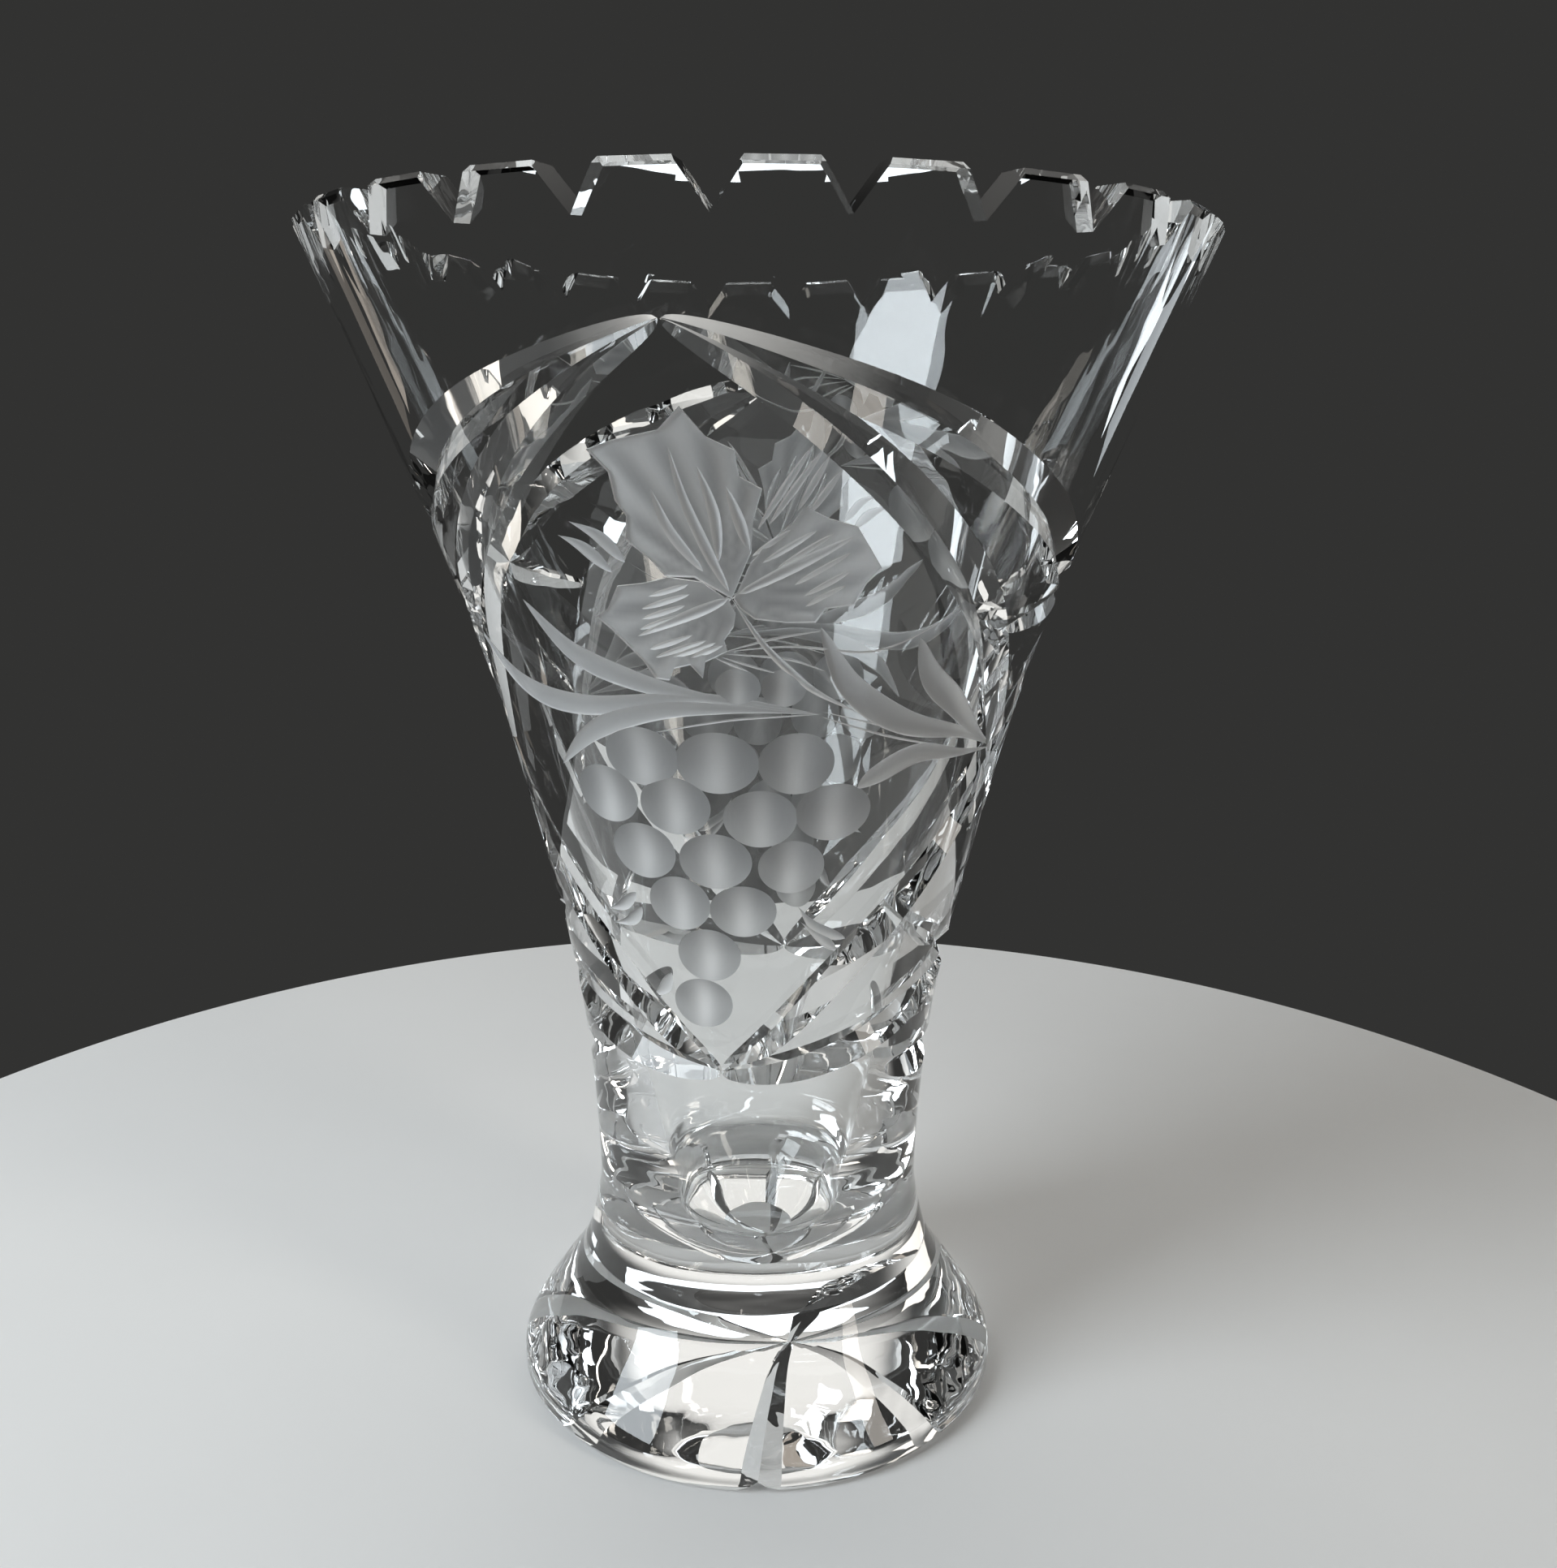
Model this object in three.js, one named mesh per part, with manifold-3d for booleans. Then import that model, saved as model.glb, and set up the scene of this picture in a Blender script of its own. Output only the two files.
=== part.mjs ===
// A cut-crystal flower vase: a flared bowl with a notched rim and deep V-cut arcs, on a solid star-cut foot.
// Millimetres, +Z up. The origin is the middle of the underside, and the front faces -Y.
import * as THREE from "three";
import { mergeVertices } from "three/addons/utils/BufferGeometryUtils.js";
import Module from "manifold-3d";

const wasm = await Module();
wasm.setup();

// ---------------------------------------------------------------- driving dimensions
const HEIGHT = 250;
const RIM_RADIUS = 89;
const BASE_RADIUS = 56;
const STEM_HEIGHT = 32; // where the flare of the foot ends and the stem begins
const STEM_RADIUS = 39.8;
const JOIN_HEIGHT = 25.5; // where the bowl was joined hot to the foot
const JOIN_RADIUS = 42.8;
const WAIST_HEIGHT = 52;
const WAIST_RADIUS = 36.8;
const CAVITY_FLOOR = 29.9;
const RIM_WALL = 6.5;
const ROUND_SEGMENTS = 52; // two for each tooth

const TEETH = 26;
const NOTCH_DEPTH = 7;
const NOTCH_GAP = 9.6;
const FIRST_NOTCH = -6; // degrees from the front
const RIM_BEVEL = 1.6;
const PANELS_START = 214; // the flat panels under the teeth fade out at this height
const PANEL_FADE = 0.8; // how far their corners stand proud of the glass there

const FRONT_MEDALLION = -12; // degrees from the front
const MITRE_SLOPE = Math.tan(THREE.MathUtils.degToRad(55)); // half of the cutting wheel's 110 degree edge
const MITRE_DEPTH = 3.3;
const GROOVE_STEPS = 10;
const ABOVE = 1.6; // how far a cutter stands proud of the glass

const STAR_RAYS = 8;
const STAR_DEPTH = 3.6;
const FIRST_RAY = -6; // degrees from the front
const STAR_CENTRE = new THREE.Vector3(5, 1, 0); // the star was cut by hand, a little off the middle

// ---------------------------------------------------------------- profiles, as radius and height
const bowlOutside = new THREE.SplineCurve([
  new THREE.Vector2(STEM_RADIUS, STEM_HEIGHT),
  new THREE.Vector2(37.6, 42),
  new THREE.Vector2(WAIST_RADIUS, WAIST_HEIGHT),
  new THREE.Vector2(38.4, 80),
  new THREE.Vector2(42, 105),
  new THREE.Vector2(48.6, 135),
  new THREE.Vector2(57, 167),
  new THREE.Vector2(69, 201),
  new THREE.Vector2(RIM_RADIUS, HEIGHT),
]);

const bowlInside = new THREE.SplineCurve([
  new THREE.Vector2(RIM_RADIUS - RIM_WALL, HEIGHT),
  new THREE.Vector2(61.5, 200),
  new THREE.Vector2(49.4, 166),
  new THREE.Vector2(41, 135),
  new THREE.Vector2(33, 104),
  new THREE.Vector2(27.4, 78),
  new THREE.Vector2(23.4, 57),
  new THREE.Vector2(19.6, 41.5),
  new THREE.Vector2(9, CAVITY_FLOOR + 0.8),
]);

// The join is the flare's last corner but one, so it falls on a point of the even division.
const flareOutside = new THREE.SplineCurve([
  new THREE.Vector2(BASE_RADIUS, 2),
  new THREE.Vector2(55.2, 7),
  new THREE.Vector2(48.4, 17.5),
  new THREE.Vector2(JOIN_RADIUS, JOIN_HEIGHT),
  new THREE.Vector2(STEM_RADIUS, STEM_HEIGHT),
]);
const flarePoints = flareOutside.getPoints(8);
const FLARE_JOIN = 6;

// ---------------------------------------------------------------- solids and booleans
function toSolid(geometry) {
  const bare = geometry.clone();
  bare.deleteAttribute("normal");
  bare.deleteAttribute("uv");
  const merged = mergeVertices(bare, 1e-4);
  const mesh = new wasm.Mesh({
    numProp: 3,
    vertProperties: new Float32Array(merged.attributes.position.array),
    triVerts: new Uint32Array(merged.index.array),
  });
  return new wasm.Manifold(mesh);
}

function toGeometry(solid) {
  const mesh = solid.getMesh();
  const geometry = new THREE.BufferGeometry();
  geometry.setAttribute("position", new THREE.BufferAttribute(mesh.vertProperties, 3));
  geometry.setIndex(new THREE.BufferAttribute(mesh.triVerts, 1));
  geometry.computeVertexNormals();
  return geometry;
}

// A profile turned about the vertical axis. The first corner lies at the given azimuth from the front.
function turned(profile, segments, azimuth = 0) {
  const geometry = new THREE.LatheGeometry(profile, segments);
  geometry.rotateX(Math.PI / 2);
  geometry.rotateZ(THREE.MathUtils.degToRad(azimuth));
  return toSolid(geometry);
}

function pointOnBowl(azimuth, height) {
  let low = 0;
  let high = 1;
  for (let i = 0; i < 30; i += 1) {
    const middle = (low + high) / 2;
    if (bowlOutside.getPoint(middle).y < height) low = middle;
    else high = middle;
  }
  const { x: radius } = bowlOutside.getPoint(low);
  const slope = bowlOutside.getTangent(low);
  const turn = THREE.MathUtils.degToRad(azimuth);
  const outward = new THREE.Vector3(Math.sin(turn), -Math.cos(turn), 0);
  return {
    point: outward.clone().multiplyScalar(radius).setZ(height),
    normal: outward.clone().multiplyScalar(slope.y).setZ(-slope.x).normalize(),
  };
}

function pointUnderFoot(azimuth, reach) {
  const turn = THREE.MathUtils.degToRad(azimuth);
  return {
    point: new THREE.Vector3(Math.sin(turn) * reach, -Math.cos(turn) * reach, 0).add(STAR_CENTRE),
    normal: new THREE.Vector3(0, 0, -1),
  };
}

// The wedge that a V-edged wheel sweeps along a route over the glass. depthAt says how deep it runs.
function wheelCut(route, steps, depthAt) {
  const wedge = new THREE.Shape([
    new THREE.Vector2(0, 0),
    new THREE.Vector2(1, 1),
    new THREE.Vector2(-1, 1),
  ]);
  const geometry = new THREE.ExtrudeGeometry(wedge, { steps, depth: 1, bevelEnabled: false });
  const place = geometry.attributes.position;
  for (let i = 0; i < place.count; i += 1) {
    const along = place.getZ(i);
    const here = route(along);
    const ahead = route(Math.min(along + 0.01, 1)).point;
    const behind = route(Math.max(along - 0.01, 0)).point;
    const forward = ahead.clone().sub(behind).normalize();
    const side = new THREE.Vector3().crossVectors(here.normal, forward).normalize();
    const depth = depthAt(along);
    const tall = depth + ABOVE;
    const spot = here.point.clone();
    spot.addScaledVector(here.normal, place.getY(i) * tall - depth);
    spot.addScaledVector(side, place.getX(i) * tall * MITRE_SLOPE);
    place.setXYZ(i, spot.x, spot.y, spot.z);
  }
  return toSolid(geometry);
}

// Grooves leave the glass gradually at both ends, so they end in points.
const taperedDepth = (along) => MITRE_DEPTH * Math.sqrt(Math.sin(Math.PI * along)) - 0.15;

// ---------------------------------------------------------------- the arcs cut in the bowl
// Each route is one side of one medallion, as degrees from the medallion's middle and height.
const TOP_POINT = 229;
const BOTTOM_POINT = 88;
const ARCS = {
  innerTop: [[0, TOP_POINT], [15, 217.5], [35, 199.5], [55, 179], [75, 151], [92, 131]],
  innerBottom: [[0, BOTTOM_POINT], [15, 97], [35, 113], [55, 130], [75, 151], [92, 168]],
  outerTop: [[0, TOP_POINT], [15, 222.5], [35, 213.5], [60, 200], [90, 184], [121, 178]],
  outerBottom: [[0, BOTTOM_POINT], [15, 89], [35, 92], [60, 97.5], [90, 105], [125, 118]],
};
const SIDE_CUT = [[54, 84.5], [72, 82.4], [90, 81.6], [108, 82.4], [126, 84.5]];

function arcRoute(corners, middle, hand) {
  const line = new THREE.SplineCurve(corners.map(([turn, height]) => new THREE.Vector2(turn, height)));
  return (along) => {
    const { x: turn, y: height } = line.getPoint(along);
    return pointOnBowl(middle + hand * turn, height);
  };
}

function bowlGrooves() {
  const cuts = [];
  for (const middle of [FRONT_MEDALLION, FRONT_MEDALLION + 180]) {
    for (const corners of Object.values(ARCS)) {
      for (const hand of [-1, 1]) {
        cuts.push(wheelCut(arcRoute(corners, middle, hand), GROOVE_STEPS, taperedDepth));
      }
    }
    cuts.push(wheelCut(arcRoute(SIDE_CUT, middle, 1), GROOVE_STEPS, taperedDepth));
  }
  return cuts;
}

// ---------------------------------------------------------------- the notched rim
function rimNotch(azimuth) {
  const over = 2;
  const spread = (NOTCH_GAP / 2) * (1 + over / NOTCH_DEPTH);
  const notch = new THREE.Shape([
    new THREE.Vector2(0, HEIGHT - NOTCH_DEPTH),
    new THREE.Vector2(spread, HEIGHT + over),
    new THREE.Vector2(-spread, HEIGHT + over),
  ]);
  const start = RIM_RADIUS - 3 * RIM_WALL;
  const geometry = new THREE.ExtrudeGeometry(notch, { depth: 4 * RIM_WALL, bevelEnabled: false });
  geometry.translate(0, 0, start);
  geometry.rotateX(Math.PI / 2);
  geometry.rotateZ(THREE.MathUtils.degToRad(azimuth));
  return toSolid(geometry);
}

// One flat face and one flat bevel for each tooth, with the corners at the notches.
function rimPanels() {
  const { point: start } = pointOnBowl(0, PANELS_START);
  const startRadius = Math.hypot(start.x, start.y);
  const outline = [
    new THREE.Vector2(0, JOIN_HEIGHT - 1),
    new THREE.Vector2(RIM_RADIUS + 20, JOIN_HEIGHT - 1),
    new THREE.Vector2(RIM_RADIUS + 20, PANELS_START),
    new THREE.Vector2(startRadius + PANEL_FADE, PANELS_START),
    new THREE.Vector2(RIM_RADIUS, HEIGHT - RIM_BEVEL),
    new THREE.Vector2(RIM_RADIUS - RIM_BEVEL, HEIGHT),
    new THREE.Vector2(0, HEIGHT),
  ];
  return turned(outline, TEETH, FIRST_NOTCH);
}

function makeBowl() {
  const profile = [
    new THREE.Vector2(0, JOIN_HEIGHT),
    ...flarePoints.slice(FLARE_JOIN, -1),
    ...bowlOutside.getPoints(15),
    ...bowlInside.getPoints(11),
    new THREE.Vector2(0, CAVITY_FLOOR),
  ];
  const blank = turned(profile, ROUND_SEGMENTS, FIRST_NOTCH);
  let bowl = blank.intersect(rimPanels());
  for (let tooth = 0; tooth < TEETH; tooth += 1) {
    bowl = bowl.subtract(rimNotch(FIRST_NOTCH + (360 / TEETH) * tooth));
  }
  for (const cut of bowlGrooves()) {
    bowl = bowl.subtract(cut);
  }
  return toGeometry(bowl);
}

// ---------------------------------------------------------------- the foot
function makeFoot() {
  const profile = [
    new THREE.Vector2(0, 0),
    new THREE.Vector2(BASE_RADIUS - 1.4, 0),
    ...flarePoints.slice(0, FLARE_JOIN + 1),
    new THREE.Vector2(0, JOIN_HEIGHT),
  ];
  let foot = turned(profile, ROUND_SEGMENTS, FIRST_NOTCH);
  const reach = BASE_RADIUS + 8;
  for (let ray = 0; ray < STAR_RAYS; ray += 1) {
    const azimuth = FIRST_RAY + (360 / STAR_RAYS) * ray;
    const route = (along) => pointUnderFoot(azimuth, -2 + along * (reach + 2));
    foot = foot.subtract(wheelCut(route, 1, (along) => 0.3 + (STAR_DEPTH - 0.3) * along));
  }
  return toGeometry(foot);
}

// ---------------------------------------------------------------- the scene graph
const crystal = new THREE.MeshStandardMaterial({ color: 0xdfe6e8, roughness: 0.05, metalness: 0 });

function named(name, geometry, material) {
  const mesh = new THREE.Mesh(geometry, material);
  mesh.name = name;
  return mesh;
}

const vase = new THREE.Group();
vase.add(named("bowl", makeBowl(), crystal));
vase.add(named("foot", makeFoot(), crystal.clone()));

export default vase;
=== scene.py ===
# %% [markdown]
# # A cut and engraved crystal vase
# The real vase is one thick piece of lead crystal. A flared bowl was blown, a solid foot was joined to it
# while both were hot, and everything that sparkles was then cut away: notches in the rim, deep V grooves
# that sweep round the bowl in arcs, a star under the foot, and a bunch of grapes with vine leaves, which
# was left matt. The script works in the same order. It turns smooth blanks, shapes a cutter for every cut
# that a wheel made, and takes them away with booleans. Each cutter brings its own finish and its own
# smooth normals with it.

# %% The frame, and the CAD parts that the vase stands for
import math

import bmesh
import bpy
import numpy as np
from mathutils import Matrix, Vector
from mathutils.geometry import delaunay_2d_cdt


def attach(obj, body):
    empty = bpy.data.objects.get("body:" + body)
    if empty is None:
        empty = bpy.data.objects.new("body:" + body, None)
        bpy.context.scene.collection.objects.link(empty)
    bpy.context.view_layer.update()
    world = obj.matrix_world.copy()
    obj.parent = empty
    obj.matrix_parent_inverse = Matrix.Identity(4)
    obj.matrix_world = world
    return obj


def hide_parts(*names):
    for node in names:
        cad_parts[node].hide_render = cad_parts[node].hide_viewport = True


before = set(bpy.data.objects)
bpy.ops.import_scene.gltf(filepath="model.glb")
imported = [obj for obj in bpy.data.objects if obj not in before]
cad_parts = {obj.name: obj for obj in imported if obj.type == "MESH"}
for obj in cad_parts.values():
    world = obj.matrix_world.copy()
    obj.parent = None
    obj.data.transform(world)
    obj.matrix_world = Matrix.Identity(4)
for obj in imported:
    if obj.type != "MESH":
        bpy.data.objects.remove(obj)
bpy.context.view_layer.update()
print("CAD nodes:", sorted(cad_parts))

# %% [markdown]
# ## Camera
# The vase is looked at from close by and from just under the height of its rim, with a slightly wide
# lens, so the bowl spreads out and the foot looks small. A camera can be aimed with a tracking
# constraint, but angles written down once are easier to repeat, so its matrix is made from a heading, a
# downward pitch and a roll.

# %% Camera
MM = 0.001
EYE = Vector((-6 * MM, -307.5 * MM, 211 * MM))
HEADING = math.radians(1.94)  # from +Y towards +X
PITCH = math.radians(16.16)  # downwards
ROLL = math.radians(0.38)
LENS = 33  # millimetres
SHIFT_UP = 0.0489  # as a share of the frame


def add_camera():
    data = bpy.data.cameras.new("camera")
    data.lens = LENS
    data.shift_y = SHIFT_UP
    data.clip_start = 0.01
    camera = bpy.data.objects.new("camera", data)
    bpy.context.scene.collection.objects.link(camera)
    flat = math.cos(PITCH)
    forward = Vector((math.sin(HEADING) * flat, math.cos(HEADING) * flat, -math.sin(PITCH)))
    right = forward.cross(Vector((0, 0, 1))).normalized()
    up = right.cross(forward)
    turn = Matrix((right, up, -forward)).transposed() @ Matrix.Rotation(ROLL, 3, "Z")
    camera.matrix_world = Matrix.Translation(EYE) @ turn.to_4x4()
    bpy.context.scene.camera = camera
    return camera


camera = add_camera()
print("camera at", tuple(round(c, 4) for c in camera.location), "lens", camera.data.lens, "mm")

# %% [markdown]
# ## Floor, room and lamps
# Clear glass has no colour of its own. It shows the room through itself, bent, so the room is half of the
# picture. A round pale table stands in a dark grey room, under one bright patch of ceiling behind the
# vase. Two large soft lamps, one above the other, are the window at the front left. Weaker strips stand at
# the front right and behind the vase. Every cut edge then finds either the dark walls or something
# bright, which is how cut glass is lit for a catalogue. The camera doesn't see the lamps directly, but the
# glass does.

# %% Table
TABLE_RADIUS = 0.3
TABLE_DROP = 0.05 * MM  # keeps its face just clear of the foot's


def linked(name, mesh):
    piece = bpy.data.objects.new(name, mesh)
    bpy.context.scene.collection.objects.link(piece)
    return piece


def add_table():
    shape = bmesh.new()
    bmesh.ops.create_circle(shape, cap_ends=True, segments=256, radius=TABLE_RADIUS)
    mesh = bpy.data.meshes.new("table_top")
    shape.to_mesh(mesh)
    shape.free()
    table = linked("table_top", mesh)
    table.location.z = -TABLE_DROP
    return table


table = add_table()
print("table top", 2 * TABLE_RADIUS, "m across")

# %% Room
WALL_GREY = (0.032, 0.032, 0.031, 1)
CEILING = (0.95, 0.935, 0.9, 1)
CEILING_TOWARDS = (0, 0.5, 0.866)  # it is brightest above and behind the vase
CEILING_EDGE = 40  # degrees from there to where the patch has faded into the walls
CEILING_CORE = 22  # degrees from there to where it starts to fade


def make_room():
    """Dark grey walls, and a bright patch of ceiling behind the vase."""
    world = bpy.data.worlds.new("studio")
    bpy.context.scene.world = world
    world.use_nodes = True
    nodes, link = world.node_tree.nodes, world.node_tree.links.new
    place = nodes.new("ShaderNodeTexCoord")
    facing = nodes.new("ShaderNodeVectorMath")
    facing.operation = "DOT_PRODUCT"
    facing.inputs[1].default_value = CEILING_TOWARDS
    rise = nodes.new("ShaderNodeMapRange")
    rise.interpolation_type = "SMOOTHSTEP"
    rise.inputs["From Min"].default_value = math.cos(math.radians(CEILING_EDGE))
    rise.inputs["From Max"].default_value = math.cos(math.radians(CEILING_CORE))
    mix = nodes.new("ShaderNodeMix")
    mix.data_type = "RGBA"
    mix.inputs["A"].default_value = WALL_GREY
    mix.inputs["B"].default_value = CEILING
    link(place.outputs["Generated"], facing.inputs[0])
    link(facing.outputs["Value"], rise.inputs["Value"])
    link(rise.outputs["Result"], mix.inputs["Factor"])
    link(mix.outputs["Result"], nodes["Background"].inputs["Color"])
    bpy.context.scene.view_settings.view_transform = "Standard"


make_room()
print("walls", WALL_GREY[:3], "ceiling", CEILING[:3])

# %% Lamps
LAMP_AIM = Vector((0, 0, 0.13))


def add_lamp(name, place, size, watts, colour):
    data = bpy.data.lights.new(name, "AREA")
    data.shape = "RECTANGLE"
    data.size, data.size_y = size
    data.energy = watts
    data.color = colour
    lamp = bpy.data.objects.new(name, data)
    bpy.context.scene.collection.objects.link(lamp)
    lamp.location = place
    lamp.rotation_euler = (LAMP_AIM - Vector(place)).to_track_quat("-Z", "Y").to_euler()
    lamp.visible_camera = False
    return lamp


COOL = (0.88, 0.95, 1.0)
WARM = (1.0, 0.94, 0.86)
AMBER = (1.0, 0.88, 0.76)
add_lamp("window_high", (-0.66, -0.38, 0.86), (0.46, 0.4), 5, COOL)
add_lamp("window_low", (-0.84, -0.48, 0.46), (0.46, 0.4), 5, COOL)
add_lamp("front_strip", (0.75, -0.55, 0.45), (0.16, 0.8), 2.2, WARM)
add_lamp("back_strip", (0, 0.9, 0.44), (1.0, 0.08), 0.42, COOL)
add_lamp("right_strip", (0.8, 0.66, 0.22), (0.12, 0.5), 0.3, COOL)
add_lamp("left_strip", (-0.8, 0.66, 0.22), (0.1, 0.5), 0.06, AMBER)
add_lamp("back_softbox", (-0.62, 0.66, 0.48), (0.3, 0.24), 0.3, WARM)

# %% Light paths through the glass
# A ray that enters deep cuts crosses many faces before it leaves, so it needs more bounces than usual.
# The join between the foot and the bowl is crossed as a transparent face, which has a count of its own.
GLASS_BOUNCES = 28
GLOSSY_BOUNCES = 12
CLEAR_BOUNCES = 24


def allow_deep_paths():
    cycles = bpy.context.scene.cycles
    cycles.max_bounces = GLASS_BOUNCES
    cycles.transmission_bounces = GLASS_BOUNCES
    cycles.glossy_bounces = GLOSSY_BOUNCES
    cycles.transparent_max_bounces = CLEAR_BOUNCES


allow_deep_paths()
print("glass bounces", GLASS_BOUNCES)

# %% [markdown]
# ## Finishes
# Three finishes are all that the vase has. The wheel cuts were polished with acid, so they are as clear
# as the blown surface, and both share one crystal material with a high index of refraction. The engraved
# picture was left as the stone wheel leaves it: matt, with fine streaks. Its colour also carries painted
# highlight and shade, kept in a corner attribute of each engraving cut. The third is no finish at all:
# where the foot is fused to the bowl there is no surface on the real vase, so that face lets everything
# pass. Hand work is never quite even. A node group makes the slow ripple of blown glass and the fine
# wheel marks, and each material places it with its own scale and depth.


# %% Node group: hand finish
def new_group(name, inputs, outputs):
    group = bpy.data.node_groups.new(name, "ShaderNodeTree")
    for label, start in inputs:
        socket = group.interface.new_socket(label, in_out="INPUT", socket_type="NodeSocketFloat")
        socket.default_value = start
    for label, kind in outputs:
        group.interface.new_socket(label, in_out="OUTPUT", socket_type=kind)
    return group, group.nodes.new("NodeGroupInput"), group.nodes.new("NodeGroupOutput")


def hand_finish_group():
    """Ripple is slow and stretched up the glass. Marks are fine: they run round it where Mark Stretch is
    over 1, and up it where Mark Stretch is under 1."""
    inputs = [("Ripple Scale", 30), ("Mark Scale", 900), ("Mark Stretch", 8)]
    outputs = [("Ripple", "NodeSocketFloat"), ("Marks", "NodeSocketFloat")]
    group, given, result = new_group("hand finish", inputs, outputs)
    nodes, link = group.nodes, group.links.new
    place = nodes.new("ShaderNodeTexCoord")
    stretch = nodes.new("ShaderNodeMapping")
    stretch.inputs["Scale"].default_value = (1, 1, 0.35)
    ripple = nodes.new("ShaderNodeTexNoise")
    ripple.inputs["Detail"].default_value = 3
    ripple.inputs["Roughness"].default_value = 0.5
    combine = nodes.new("ShaderNodeCombineXYZ")
    combine.inputs["X"].default_value = 1
    combine.inputs["Y"].default_value = 1
    squeeze = nodes.new("ShaderNodeVectorMath")
    squeeze.operation = "MULTIPLY"
    marks = nodes.new("ShaderNodeTexNoise")
    marks.inputs["Detail"].default_value = 3
    link(place.outputs["Object"], stretch.inputs["Vector"])
    link(stretch.outputs["Vector"], ripple.inputs["Vector"])
    link(given.outputs["Ripple Scale"], ripple.inputs["Scale"])
    link(place.outputs["Object"], squeeze.inputs[0])
    link(given.outputs["Mark Stretch"], combine.inputs["Z"])
    link(combine.outputs["Vector"], squeeze.inputs[1])
    link(squeeze.outputs["Vector"], marks.inputs["Vector"])
    link(given.outputs["Mark Scale"], marks.inputs["Scale"])
    link(ripple.outputs["Fac"], result.inputs["Ripple"])
    link(marks.outputs["Fac"], result.inputs["Marks"])
    return group


hand_finish = hand_finish_group()
print("node group:", hand_finish.name, [s.name for s in hand_finish.interface.items_tree])


# %% Crystal, polished and engraved
def place_group(material, group, **values):
    node = material.node_tree.nodes.new("ShaderNodeGroup")
    node.node_tree = group
    for label, value in values.items():
        node.inputs[label.replace("_", " ")].default_value = value
    return node


def new_material(name):
    material = bpy.data.materials.new(name)
    material.use_nodes = True
    return material, material.node_tree.nodes["Principled BSDF"]


def spread(material, source, low, high):
    """Spreads a 0 to 1 value over low to high."""
    node = material.node_tree.nodes.new("ShaderNodeMapRange")
    node.inputs["To Min"].default_value = low
    node.inputs["To Max"].default_value = high
    material.node_tree.links.new(source, node.inputs["Value"])
    return node.outputs["Result"]


def raised(material, height, distance, strength):
    bump = material.node_tree.nodes.new("ShaderNodeBump")
    bump.inputs["Distance"].default_value = distance
    bump.inputs["Strength"].default_value = strength
    material.node_tree.links.new(height, bump.inputs["Height"])
    return bump.outputs["Normal"]


def mixed(material, share, dark, light):
    """A colour between dark and light, by a 0 to 1 value."""
    mix = material.node_tree.nodes.new("ShaderNodeMix")
    mix.data_type = "RGBA"
    mix.inputs["A"].default_value = dark
    mix.inputs["B"].default_value = light
    material.node_tree.links.new(share, mix.inputs["Factor"])
    return mix.outputs["Result"]


LEAD_CRYSTAL_IOR = 1.545
CRYSTAL_TINT = (0.985, 0.992, 0.99, 1)
# The matt cut's colour runs from a grey where shade is painted to white where a highlight is painted.
STONE_SHADED_GREY = (0.42, 0.425, 0.43, 1)
STONE_PAINTED_HIGHLIGHT = (1, 1, 1, 1)
STONE_CLEARNESS = 0.66  # the share of the light that still goes through a matt cut
TABLE_SHADE = (0.74, 0.735, 0.725, 1)
TABLE_PALE = (0.79, 0.785, 0.775, 1)


def polished_crystal():
    material, glass = new_material("polished_crystal")
    link = material.node_tree.links.new
    glass.inputs["Base Color"].default_value = CRYSTAL_TINT
    glass.inputs["IOR"].default_value = LEAD_CRYSTAL_IOR
    glass.inputs["Transmission Weight"].default_value = 1
    hand = place_group(material, hand_finish, Ripple_Scale=28, Mark_Scale=700, Mark_Stretch=3)
    link(spread(material, hand.outputs["Marks"], 0.0, 0.012), glass.inputs["Roughness"])
    link(raised(material, hand.outputs["Ripple"], 0.6 * MM, 0.45), glass.inputs["Normal"])
    return material


def engraved_crystal():
    """The matt cut's colour carries painted highlight and shade from a corner attribute: white where
    a highlight is painted, grey where shade is.
    """
    material, glass = new_material("engraved_crystal")
    link = material.node_tree.links.new
    glass.inputs["IOR"].default_value = LEAD_CRYSTAL_IOR
    glass.inputs["Transmission Weight"].default_value = STONE_CLEARNESS
    hand = place_group(material, hand_finish, Ripple_Scale=160, Mark_Scale=900, Mark_Stretch=0.12)
    # painted highlight and shade: a corner attribute mixes the matt grey towards white
    painted_sheen = material.node_tree.nodes.new("ShaderNodeAttribute")
    painted_sheen.attribute_name = "painted_sheen"
    link(mixed(material, painted_sheen.outputs["Fac"], STONE_SHADED_GREY, STONE_PAINTED_HIGHLIGHT), glass.inputs["Base Color"])
    link(spread(material, hand.outputs["Marks"], 0.38, 0.62), glass.inputs["Roughness"])
    link(raised(material, hand.outputs["Marks"], 0.1 * MM, 0.5), glass.inputs["Normal"])
    return material


def fused_join():
    material, glass = new_material("fused_join")
    nodes = material.node_tree.nodes
    nodes.remove(glass)
    clear = nodes.new("ShaderNodeBsdfTransparent")
    material.node_tree.links.new(clear.outputs["BSDF"], nodes["Material Output"].inputs["Surface"])
    return material


def pale_table():
    material, top = new_material("pale_table")
    link = material.node_tree.links.new
    hand = place_group(material, hand_finish, Ripple_Scale=9, Mark_Scale=260, Mark_Stretch=1)
    link(mixed(material, hand.outputs["Ripple"], TABLE_SHADE, TABLE_PALE), top.inputs["Base Color"])
    top.inputs["Roughness"].default_value = 0.75
    link(raised(material, hand.outputs["Marks"], 0.1 * MM, 0.3), top.inputs["Normal"])
    return material


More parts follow.
